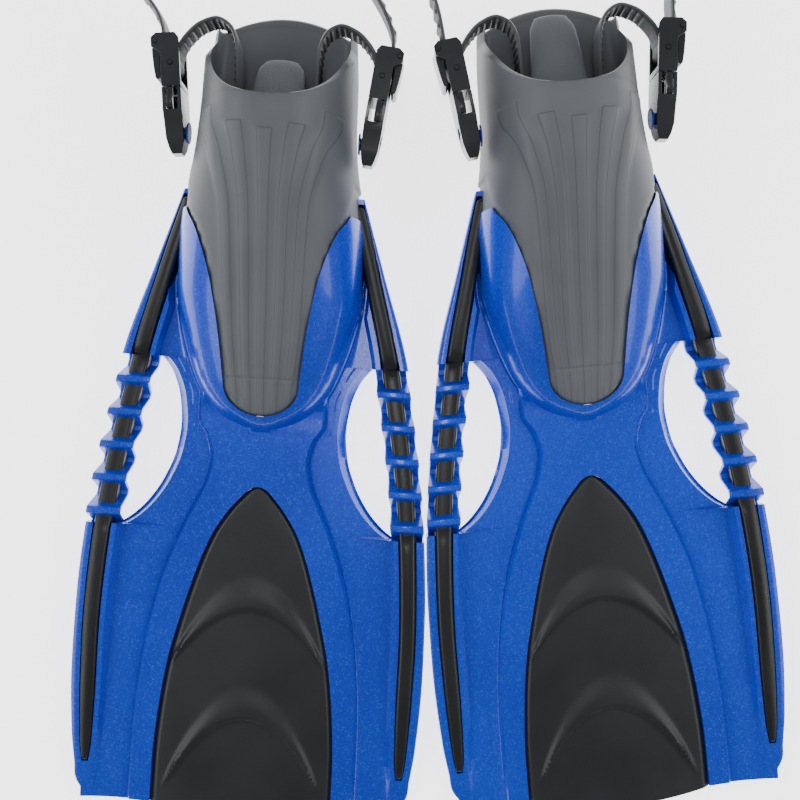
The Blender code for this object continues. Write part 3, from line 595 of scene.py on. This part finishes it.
def ladder_mesh(side):
    """Strip centred on the rail's line. Its top joins flat crests and flat valleys with straight ramps,
    averaged over a few rows; its section is a rounded rectangle, a little wider on the crests."""
    half_pitch, flat = LADDER_PITCH / 2, LADDER_WALL * 0.45
    knots = [(VENT_START - 6, 0.5), (LADDER_FIRST - half_pitch - flat, 0)]
    for rung in range(LADDER_RUNGS):
        crest = LADDER_FIRST + LADDER_PITCH * rung
        knots += [(crest - half_pitch + flat, 0), (crest - flat, 1), (crest + flat, 1),
                  (crest + half_pitch - flat, 0)]
    knots.append((VENT_END + 4, 0))
    at, level = np.array(knots).T
    v = np.arange(at[0], at[-1], LADDER_ROW)
    kernel = np.hanning(9) / np.hanning(9).sum()
    share = np.convolve(np.pad(np.interp(v, at, level), 4, mode="edge"), kernel, mode="valid")
    top = LADDER_LOW + LADDER_WALL + (LADDER_HIGH - LADDER_LOW - LADDER_WALL) * share
    half = VALLEY_HALF + (CREST_HALF - VALLEY_HALF) * share
    turn = np.radians([0, 30, 60, 90])
    corner = []
    for su, sz in ((1, 1), (-1, 1), (-1, -1), (1, -1)):
        angle = turn if su * sz > 0 else turn[::-1]
        corner += [(su, sz, math.cos(a) * su, math.sin(a) * sz) for a in angle]
    edge_u, edge_z, round_u, round_z = np.array(corner).T
    u = along(RAIL_LINE, v)[:, None] + edge_u * (half[:, None] - LADDER_EASE) + round_u * LADDER_EASE
    z = edge_z * (LADDER_WALL / 2 - LADDER_EASE) + round_z * LADDER_EASE + (top - LADDER_WALL / 2)[:, None]
    points = np.dstack([u * side, np.broadcast_to(v[:, None], u.shape), z])
    rows, cols = u.shape
    faces = [quads(rows, cols, round_cols=True), cap(0, cols), cap((rows - 1) * cols, cols)]
    return points.reshape(-1, 3), np.vstack(faces)


for fin in FINS:
    for place, side in (("outer", -1), ("inner", 1)):
        piece(f"{fin}_ladder_{place}", fin, *ladder_mesh(side), FINISH["blue"], f"{fin}_fin",
              "blue_plastic", [f"{fin}_blade"])

# %% [markdown]
# ## Rails
# A rubber bar stiffens each side of the blade. It lies in the shoulder's channel and runs through the
# ladder. Its section is a rounded rectangle, carried along the rail's line with both ends drawn in.


# %% Rubber rails
def rail_mesh(side):
    """Superellipse section round the rail's line; a root of the distance to each end closes it."""
    share = (1 - np.cos(np.linspace(0, math.pi, 150))) / 2
    v = RAIL_START + (RAIL_END - RAIL_START) * share
    reach = np.minimum(v - RAIL_START, RAIL_END - v)
    close = np.sqrt(np.clip(1 - (1 - np.clip(reach / 3.5, 0, 1)) ** 2, 0, 1))
    turn = np.linspace(0, 2 * math.pi, 24, endpoint=False)
    cu = np.sign(np.cos(turn)) * np.abs(np.cos(turn)) ** 0.4
    cz = np.sign(np.sin(turn)) * np.abs(np.sin(turn)) ** 0.5
    half = along(RAIL_HALF, v) * close
    top, base = along(RAIL_TOP, v), along(RAIL_BOTTOM, v)
    middle, tall = (top + base) / 2, (top - base) / 2 * close
    u = (along(RAIL_LINE, v)[:, None] + half[:, None] * cu) * side
    z = middle[:, None] + tall[:, None] * cz
    points = np.dstack([u, np.broadcast_to(v[:, None], u.shape), z])
    rows, cols = u.shape
    return points.reshape(-1, 3), quads(rows, cols, round_cols=True)


for fin in FINS:
    for place, side in (("outer", -1), ("inner", 1)):
        piece(f"{fin}_rubber_rail_{place}", fin, *rail_mesh(side), FINISH["rail"], f"{fin}_fin",
              "black_rubber", [f"{fin}_rail_{place}"])

# %% [markdown]
# ## The soft middle of the blade
# Rubber fills the fork of the spine, so that the blade can cup. Two arched bands stand up from it, and
# its end bulges past the blade.


# %% Middle insert
BAND_HALF = 52                               # the bands' two edges meet at this distance from the middle
BANDS = [(2.2, 350, 372, 414), (2.0, 419, 441.5, 491)]   # height, both edges at the middle, the tips


def band(u, v, start, end, tips):
    """Crescent between two curves that meet at station tips: it rises softly from the curve
    start + (tips - start) * (u / BAND_HALF)^2 and drops quickly at the other one."""
    share = (u / BAND_HALF) ** 2
    first, last = start + (tips - start) * share, end + (tips - end) * share
    width = np.maximum(last - first, 0.5)
    rise, drop = smooth(0, 1, (v - first) / (width * 0.8)), smooth(-0.6, 2.2, v - last)
    return rise * (1 - drop) * smooth(0, 8, width)


def insert_mesh():
    """Height = plate + spine rise + crown + bands; it stops at the outline, with rounded top edges."""
    v = np.concatenate([INSERT_TIP + 4.8 * np.linspace(0, 1, 16) ** 2, np.arange(301, 498, 1.4), [499]])
    share = np.sin(np.linspace(-math.pi / 2, math.pi / 2, 81))
    half = insert_half(v)
    u = half[:, None] * share
    station = np.broadcast_to(v[:, None], u.shape)
    top = (along(PLATE_TOP, v) + along(SPINE_RISE, v))[:, None] - 1.0 + 1.2 * (1 - share ** 2)
    arcs = sum(height * band(u, station, *edges) for height, *edges in BANDS)
    inside = half[:, None] - np.abs(u)
    top = top + arcs * smooth(1, 7, inside) - 1.6 * (1 - smooth(0, 4, inside))
    push = np.clip((v - BULGE_START) / (FIN_LENGTH - BULGE_START), 0, 1)[:, None]
    out = station + push ** 2 * INSERT_BULGE * (1 - (u / INSERT_HALF) ** 2)
    low = np.broadcast_to(along(PLATE_BOTTOM, v)[:, None], u.shape)
    upper, lower = np.dstack([u, out, top]), np.dstack([u, out, low])
    loop = np.concatenate([upper, lower[:, ::-1]], axis=1)
    rows, cols = u.shape
    faces = [quads(rows, 2 * cols, round_cols=True), cap(0, 2 * cols), cap((rows - 1) * 2 * cols, 2 * cols)]
    return loop.reshape(-1, 3), np.vstack(faces)


for fin in FINS:
    piece(f"{fin}_soft_middle", fin, *insert_mesh(), FINISH["insert"], f"{fin}_fin", "black_rubber",
          [f"{fin}_center_insert"])

# %% [markdown]
# ## The foot pocket
# The pocket is one rubber moulding: a sole, walls that rise to the instep, and a roof that runs under
# the blue cheeks to the toes. Rings across the foot, from the heel to the toe, make its outside and its
# inside. A sloping cut opens the heel, and a rolled rim joins the two surfaces along it.


# %% Pocket rings
ROOF_SPREAD = [(0, 9.6), (80, 9.2), (100, 7.4), (130, 5.7), (199, 5.0), (240, 4.0)]
FAN = [0, 0.22] + [k + d for k in range(5) for d in (0.43, 0.57, 1.0) if k + d < 4.6]
LIP_END = 72                                 # the heel's opening ends at this station
CHEEK_START = 108                            # from here the blue cheeks cover the rubber's sides
CREASE, RIB_START = 227.5, 88


def opening_share(v, top):
    """Share of the roof's quarter turn at which the sloping heel cut meets it: 1 where it is whole."""
    (low_v, low_z), (high_v, high_z) = TOPLINE
    cut = low_z + (np.clip(v, low_v, None) - low_v) * (high_z - low_z) / (high_v - low_v)
    share = np.clip((cut - SPRING) / (top - SPRING), 0.02, 1)
    return np.arcsin(np.clip(share ** 1.25, 0, 1)) / (math.pi / 2)


def pocket_ring(v, less, floor, ease):
    """Half a ring at each station, from the opening down the side to the middle of the sole. The roof is
    u = half * cos^0.8, z = spring + rise * sin^0.8; its columns lie on the lines of the fan of ribs, and
    then even steps lead to the side. A quarter round leads from the side to the sole."""
    half, top = along(SHELL_HALF, v), along(SHELL_TOP, v)
    fan_u = along(ROOF_SPREAD, v)[:, None] * np.array(FAN)
    fanned = np.arccos(np.clip(fan_u / half[:, None], 0, 0.97) ** 1.25)
    angle = np.hstack([fanned, fanned[:, -1:] * np.linspace(1, 0, 17)[1:]])
    angle = angle * opening_share(v, top)[:, None]
    inset = less(np.cos(angle) ** 0.8 * half[:, None], v[:, None]) if callable(less) else less
    wide, high = half[:, None] - inset, top[:, None] - inset * 1.1
    roof_u = wide * np.cos(angle) ** 0.8
    roof_z = SPRING + floor + (high - SPRING - floor) * np.sin(angle) ** 0.8
    turn = np.radians([15, 30, 45, 60, 75, 90])
    side = np.broadcast_to(np.asarray(wide)[:, -1:], (len(v), 1))
    low_u = side - ease * (1 - np.cos(turn))
    low_z = np.broadcast_to(floor + SPRING * (1 - np.sin(turn)), low_u.shape)
    sole = np.linspace(1, 0, 12)[1:]
    sole_u, sole_z = low_u[:, -1:] * sole, np.full((len(v), 11), float(floor))
    u, z = np.hstack([roof_u, low_u, sole_u]), np.hstack([roof_z, low_z, sole_z])
    heel = np.clip(1 - v / 40, 0, None)[:, None] * HEEL_SWEEP * (u / 46) ** 2
    return np.dstack([u, v[:, None] + heel, z])


def rib_height(u, v):
    """Raised strips of the fan: full height within 0.43 of an even fan line, none beyond 0.57. Strip k
    starts 3.5 k^2 before RIB_START, and a crease crosses them all."""
    fan = u / along(ROOF_SPREAD, v)
    index = np.round(fan / 2)
    strip = 1 - smooth(0.43, 0.57, np.abs(fan - 2 * index))
    begun = smooth(0, 1.4, v - (RIB_START - 3.5 * index ** 2))
    crease = np.exp(-((v - CREASE) / 0.7) ** 2)
    return 0.55 * strip * begun * (np.abs(index) < 2.5) - 0.6 * crease


def under_cheek(u, v):
    """How far the rubber lies under the outside: flush in its opening, sunk below the blue cheeks."""
    past_toe = np.clip(v - TOE_STATION, 0, None)
    ellipse = np.sqrt((u / RUBBER_EDGE[-1][1]) ** 2 + (past_toe / RUBBER_TOE) ** 2)
    inside = np.where(v > TOE_STATION, (1 - ellipse) * 21, (rubber_half(v) - np.abs(u)) * 0.94)
    seen = smooth(0.2, 2.2, inside)
    covered = v > CHEEK_START
    return (SKIN + 0.4) * (1 - seen) * covered - rib_height(u, v) * np.where(covered, seen, 1)


def pocket_mesh():
    """Outside rings, inside rings and the rim rows between them, mirrored left to right."""
    v = np.concatenate([np.linspace(0, LIP_END, 45), np.arange(72.7, 92, 0.7), np.arange(92, 226, 1.5),
                        np.arange(226.2, 229, 0.4), np.linspace(230, 250.45, 28)])
    inner_v = 2.5 + v - (2.5 + 7) * smooth(190, 250, v)
    outside = pocket_ring(v, under_cheek, 0, 6)
    inside = pocket_ring(inner_v, WALL, SOLE_TOP, 5)
    inside[:, -1, 2] = SOLE_TOP
    bead = 1.3 * np.exp(-((v - 1) / 2.2) ** 2)[:, None]
    inside[..., 2] += bead * (inside[..., 2] < SOLE_TOP + 1)
    lip = v < LIP_END - 0.1
    outside[~lip, 0, 0] = 0
    inside[~lip, 0, 0] = 0
    rows, cols = outside.shape[:2]
    full_out = np.concatenate([outside, outside[:, -2::-1] * [-1, 1, 1]], axis=1)
    full_in = np.concatenate([inside, inside[:, -2::-1] * [-1, 1, 1]], axis=1)
    wide = full_out.shape[1]
    fan = full_out[..., 0] / along(ROOF_SPREAD, full_out[..., 1])
    mask = (full_out[..., 2] > 20) * 1.0
    lay_out = np.dstack([fan, full_out[..., 1], mask])
    lay_in = np.dstack([np.zeros_like(fan), full_in[..., 1], np.zeros_like(fan)])
    points = [full_out.reshape(-1, 3), full_in.reshape(-1, 3)]
    lays = [lay_out.reshape(-1, 3), lay_in.reshape(-1, 3)]
    faces = [quads(rows, wide), quads(rows, wide, rows * wide)]
    count = 2 * rows * wide
    grid = np.arange(rows * wide).reshape(rows, wide)
    last_lip = int(lip.sum())
    border = np.concatenate([grid[last_lip::-1, 0], grid[0, 1:-1], grid[:last_lip + 1, -1]])
    a, b = points[0][border], points[1][border]
    middle, half = (a + b) / 2, (a - b) / 2
    inward = np.concatenate([points[0][grid[last_lip::-1, 1]], points[0][grid[1, 1:-1]],
                             points[0][grid[:last_lip + 1, -2]]])
    away = a - inward
    away /= np.maximum(np.linalg.norm(away, axis=1)[:, None], 1e-6)
    reach = np.linalg.norm(half, axis=1)[:, None]
    ids = [border]
    for angle in np.radians([35, 65, 90, 115, 145]):
        row = middle + half * math.cos(angle) + away * math.sin(angle) * np.minimum(reach, 1.8)
        points.append(row)
        lays.append(np.column_stack([np.zeros(len(row)), row[:, 1], np.zeros(len(row))]))
        ids.append(count + np.arange(len(row)))
        count += len(row)
    ids.append(border + rows * wide)
    for one, two in zip(ids[:-1], ids[1:]):
        faces.append(np.stack([one[:-1], one[1:], two[1:], two[:-1]], -1))
    for first in (0, rows * wide):
        at = first + (rows - 1) * wide
        pole = points[0 if first == 0 else 1].reshape(rows, wide, 3)[-1].mean(axis=0)
        points.append(pole[None, :])
        lays.append(np.array([[0, pole[1], 0]]))
        k = np.arange(wide - 1)
        faces.append(np.stack([at + k, at + k + 1, np.full(wide - 1, count), np.full(wide - 1, count)], -1))
        count += 1
    return np.vstack(points), np.vstack(faces), np.vstack(lays)


for fin in FINS:
    spots, patches, lays = pocket_mesh()
    piece(f"{fin}_pocket_rubber", fin, spots, patches, FINISH["pocket"], f"{fin}_fin", "grey_rubber",
          [f"{fin}_foot_pocket"], lay=lays, sharp=50)

# %% [markdown]
# ## Buckles
# The buckles' shapes come from CAD. Moulded plastic has no knife edges, so each part is a copy of its
# node with the loose triangles merged and a small bevel on every edge.

# %% Softened buckle parts
CREASE_ANGLE, BEVEL_ANGLE = math.radians(35), math.radians(28)


def softened(node, finish, body, width):
    """Copy of a node: doubles merged, flat areas dissolved, every steep edge bevelled."""
    mesh = frame["nodes"][node].data.copy()
    shape = bmesh.new()
    shape.from_mesh(mesh)
    bmesh.ops.remove_doubles(shape, verts=shape.verts, dist=0.003 * MM)
    bmesh.ops.dissolve_limit(shape, angle_limit=math.radians(1), verts=shape.verts, edges=shape.edges)
    for edge in shape.edges:
        edge.smooth = edge.calc_face_angle(0) < CREASE_ANGLE
    shape.to_mesh(mesh)
    shape.free()
    ob = finished(f"{node}_moulded", mesh, finish, body, [node])
    bevel = ob.modifiers.new("eased edges", "BEVEL")
    bevel.width = width * MM
    bevel.segments = 2
    bevel.limit_method = "ANGLE"
    bevel.angle_limit = BEVEL_ANGLE


for fin in FINS:
    for place in ("outer", "inner"):
        bodies = {"buckle_base": f"buckle_{place}", "strap_clip": "strap", "pawl_pin": "strap",
                  "roller": f"roller_body_{place}", "pawl_lever": f"lever_{place}"}
        for part, body in bodies.items():
            softened(f"{fin}_{part}_{place}", FINISH["buckle"], f"{fin}_{body}",
                     0.25 if part in ("roller", "pawl_pin") else 0.6)
        for level in ("top", "bottom"):
            softened(f"{fin}_release_prong_{place}_{level}", FINISH["buckle"],
                     f"{fin}_prong_{place}_{level}", 0.35)
        softened(f"{fin}_stud_{place}", FINISH["stud"], f"{fin}_fin", 0.4)

# %% [markdown]
# ## Heel straps
# One flat rubber strap runs from a free tail, round a roller, over the heel end of the wall and down
# into the pocket, and back the same way to the other buckle. It is one section carried along that
# route. The section's outer face rises and falls with the distance along it, which makes the teeth.

# %% The strap's route and teeth
STUD_CENTRE, LEAN = 58, math.radians(6.5)
CLIP_END, ROLLER_Q, ROLLER_RADIUS = 56, 38.5, 2.0
STRAP_THICK, STRAP_HALF = 2.8, 9.8
STRAP_OFFSET = ROLLER_RADIUS + SEAM + STRAP_THICK / 2
LOOP_ROUTE = [(57.6, 34, 45), (53, 26.5, 45.2), (46, 20.5, 46), (37, 17.5, 46.5), (28.5, 22, 46),
              (24.5, 33, 44), (24, 48, 40), (24.4, 62, 36), (22.5, 73, 34), (16, 81, 33), (8, 84.5, 33)]
TAIL_STEP = 7
TAILS = {
    "left": {"outer": (0.8, 2.4, 4.2, 5.6, 6.6, 7), "inner": (-1.2, -3, -4.4, -5.4, -6, -6.2)},
    "right": {"outer": (-0.2, -0.4, 0.2, 0.8, 1.2, 1.6), "inner": (-0.3, -0.2, 0.2, 0.6, 1, 1.2)},
}
TOOTH_PITCH, TOOTH_HEIGHT = 8.6, 1.35
RIB_PITCH, RIB_HEIGHT = 4.3, 0.95
TEETH_END = 52                               # teeth run this far from the tail's tip, and ribs after that
HELD_START, HELD_END = 44, 92                # the buckle hides the strap here, where it is nearly smooth


def from_buckle(points, side):
    """Buckle coordinates (along the buckle, outwards, up from the stud) to fin coordinates."""
    q, n, z = np.asarray(points, dtype=float).reshape(-1, 3).T
    u = STUD_CENTRE + q * math.sin(LEAN) + n * math.cos(LEAN)
    v = STUD_STATION - q * math.cos(LEAN) + n * math.sin(LEAN)
    return np.column_stack([side * u, v, STUD_HEIGHT + z])


def buckle_run(side, tail):
    """The strap's line through one buckle, from the free tail's tip round the roller."""
    steps = np.array(tail)
    q = CLIP_END + TAIL_STEP * np.arange(len(steps) + 1)
    n = STRAP_OFFSET + np.concatenate([[0], np.cumsum(steps)])
    free = np.column_stack([q, n, np.zeros(len(q))])[::-1]
    held = [(q, STRAP_OFFSET, 0) for q in (50, 44, ROLLER_Q)]
    turn = np.radians(np.linspace(67.5, -67.5, 7))
    wrap = np.column_stack([ROLLER_Q - STRAP_OFFSET * np.cos(turn), STRAP_OFFSET * np.sin(turn),
                            np.zeros(7)])
    back = [(q, -STRAP_OFFSET, 0) for q in (ROLLER_Q, 42)]
    return from_buckle(np.vstack([free, held, wrap, back]), side)


def strap_route(fin):
    """Even steps on a smooth curve from the outer tail to the inner tail, and the distance along it."""
    loop = np.array(LOOP_ROUTE, dtype=float)
    halves = {name: np.vstack([buckle_run(side, TAILS[fin][name]), loop * [side, 1, 1]])
              for name, side in (("outer", -1), ("inner", 1))}
    middle = [(0, LOOP_ROUTE[-1][1] + 1.2, LOOP_ROUTE[-1][2])]
    route = np.vstack([halves["outer"], middle, halves["inner"][::-1]])
    reach = np.concatenate([[0], np.cumsum(np.linalg.norm(np.diff(route, axis=0), axis=1))])
    at = np.linspace(0, reach[-1], int(reach[-1] / 0.55))
    return np.column_stack([along(list(zip(reach, axis)), at) for axis in route.T]), at, reach[-1]


def strap_mesh(fin):
    """Rounded flat section along the route. Teeth: a saw wave on the outer face of the tails, finer
    ribs on the loop, both between two plain margins."""
    route, at, length = strap_route(fin)
    heading = np.gradient(route, axis=0)
    heading[:, 2] = 0
    heading /= np.linalg.norm(heading, axis=1)[:, None]
    kernel = np.hanning(9) / np.hanning(9).sum()
    heading = np.column_stack([np.convolve(np.pad(h, 4, mode="edge"), kernel, mode="valid")
                               for h in heading.T])
    heading /= np.linalg.norm(heading, axis=1)[:, None]
    across = np.column_stack([-heading[:, 1], heading[:, 0], np.zeros(len(route))])
    from_end = np.minimum(at, length - at)
    width = STRAP_HALF * (0.62 + 0.38 * np.sqrt(np.clip(1 - (1 - np.clip(from_end / 9, 0, 1)) ** 2, 0, 1)))
    rows = len(route)
    face = np.linspace(-1, 1, 17)
    tail = from_end < TEETH_END
    saw = np.mod(from_end / TOOTH_PITCH, 1)
    tooth = np.where(saw < 0.72, saw / 0.72, (1 - saw) / 0.28) * TOOTH_HEIGHT
    rib = smooth(0.25, 0.45, np.abs(np.mod(at / RIB_PITCH, 1) - 0.5)) * RIB_HEIGHT
    held = (from_end > HELD_START) & (from_end < HELD_END)
    lift = np.where(tail, tooth, rib) * np.where(held, 0.15, 1)
    band_mask = 1 - smooth(0.80, 0.9, np.abs(face))
    outer = STRAP_THICK / 2 - 0.5 + lift[:, None] * band_mask
    ease = 1 - 0.45 * smooth(0.9, 1, np.abs(face))
    outer = outer * ease
    inner = -np.broadcast_to(STRAP_THICK / 2 * ease, (rows, len(face)))
    thick = np.concatenate([outer, inner[:, ::-1]], axis=1)
    up = np.concatenate([face, face[::-1]])
    points = (route[:, None, :] + across[:, None, :] * thick[..., None]
              + np.array([0, 0, 1]) * (width[:, None] * up)[..., None])
    cols = 2 * len(face)
    faces = [quads(rows, cols, round_cols=True), cap(0, cols), cap((rows - 1) * cols, cols)]
    return points.reshape(-1, 3), np.vstack(faces), length


for fin in FINS:
    spots, patches, length = strap_mesh(fin)
    piece(f"{fin}_toothed_strap", fin, spots, patches, FINISH["strap"], f"{fin}_strap", "grey_rubber",
          [f"{fin}_heel_strap"])
    print("strap length, mm:", round(float(length)))

# %% Pull tabs
TAB_END = {"left": 33, "right": 12}
TAB_ROOT, TAB_ROOT_HALF, TAB_END_HALF, TAB_THICK, TAB_HEIGHT = 82, 19, 13, 3.4, 42


def tab_mesh(fin):
    """Trapezoid pad: the thickness and the outline are both superellipses of the grid's shares."""
    end = TAB_END[fin]
    s, t = np.meshgrid(np.sin(np.linspace(-math.pi / 2, math.pi / 2, 33)),
                       np.sin(np.linspace(-math.pi / 2, math.pi / 2, 25)), indexing="ij")
    share = (s + 1) / 2
    half = TAB_END_HALF + (TAB_ROOT_HALF - TAB_END_HALF) * np.minimum(share * 1.2, 1)
    half = half * (1 - 0.22 * (1 - smooth(0, 0.16, share)) ** 2)
    v = end + (TAB_ROOT - end) * share + 1.5 * (1 - t ** 2) * (share - 1)
    z = TAB_HEIGHT - 14 * (1 - share) ** 2
    rim = np.clip((1 - np.abs(t) ** 7) * (1 - np.abs(s) ** 14), 0, 1) ** 0.5 * TAB_THICK / 2
    upper = np.dstack([half * t, v, z + rim])
    lower = np.dstack([half * t, v, z - rim])
    rows, cols = s.shape
    points = np.vstack([upper.reshape(-1, 3), lower.reshape(-1, 3)])
    return points, np.vstack([quads(rows, cols), quads(rows, cols, rows * cols)])


for fin in FINS:
    piece(f"{fin}_pull_tab", fin, *tab_mesh(fin), FINISH["tab"], f"{fin}_strap", "grey_rubber",
          [f"{fin}_heel_strap"], sharp=60)

# %% [markdown]
# ## Floor, light and camera
# A pale floor that glows a little, two broad lights at the sides and a narrow one overhead give the soft
# light of a studio table. The camera looks straight down from 0.7 m.

# %% Floor
FLOOR_HALF, FLOOR_HEIGHT = 3.0, -0.0006
floor_mesh = bpy.data.meshes.new("floor")
floor_mesh.from_pydata([(x * FLOOR_HALF, y * FLOOR_HALF, FLOOR_HEIGHT)
                        for x, y in ((-1, -1), (1, -1), (1, 1), (-1, 1))], [], [(0, 1, 2, 3)])
floor = bpy.data.objects.new("floor", floor_mesh)
bpy.context.scene.collection.objects.link(floor)
floor_finish, _, floor_shader = new_finish("pale_floor", 0.8)
floor_shader.inputs["Base Color"].default_value = (0.95, 0.955, 0.96, 1)
floor_shader.inputs["Emission Color"].default_value = (1, 1, 1, 1)
floor_shader.inputs["Emission Strength"].default_value = 2.6
floor_mesh.materials.append(floor_finish)
print("floor", 2 * FLOOR_HALF, "m")


# %% Lights and surroundings
def softbox(name, place, turn, size, power):
    """Rectangular area light."""
    data = bpy.data.lights.new(name, "AREA")
    data.shape = "RECTANGLE"
    data.size, data.size_y = size
    data.energy = power
    lamp = bpy.data.objects.new(name, data)
    lamp.location = place
    lamp.rotation_euler = [math.radians(a) for a in turn]
    bpy.context.scene.collection.objects.link(lamp)


softbox("over", (-0.05, 0.1, 1.5), (0, -2, 0), (0.16, 0.5), 2.6)
softbox("right_side", (1.2, 0.1, 1.0), (0, 52, 0), (0.8, 1.8), 13)
softbox("left_side", (-1.2, 0.0, 1.0), (0, -52, 0), (0.8, 1.8), 14)
world = bpy.data.worlds.new("studio")
world.use_nodes = True
world.node_tree.nodes["Background"].inputs["Color"].default_value = (0.95, 0.97, 1, 1)
world.node_tree.nodes["Background"].inputs["Strength"].default_value = 0.38
bpy.context.scene.world = world

# %% Camera
camera_data = bpy.data.cameras.new("camera")
camera_data.sensor_width = 36
camera_data.lens = 49.3
camera = bpy.data.objects.new("camera", camera_data)
camera.location = (-0.0145, 0.0, 0.70)
camera.rotation_euler = (0, 0, math.radians(-0.93))
bpy.context.scene.collection.objects.link(camera)
bpy.context.scene.camera = camera
print("camera", list(camera.location))
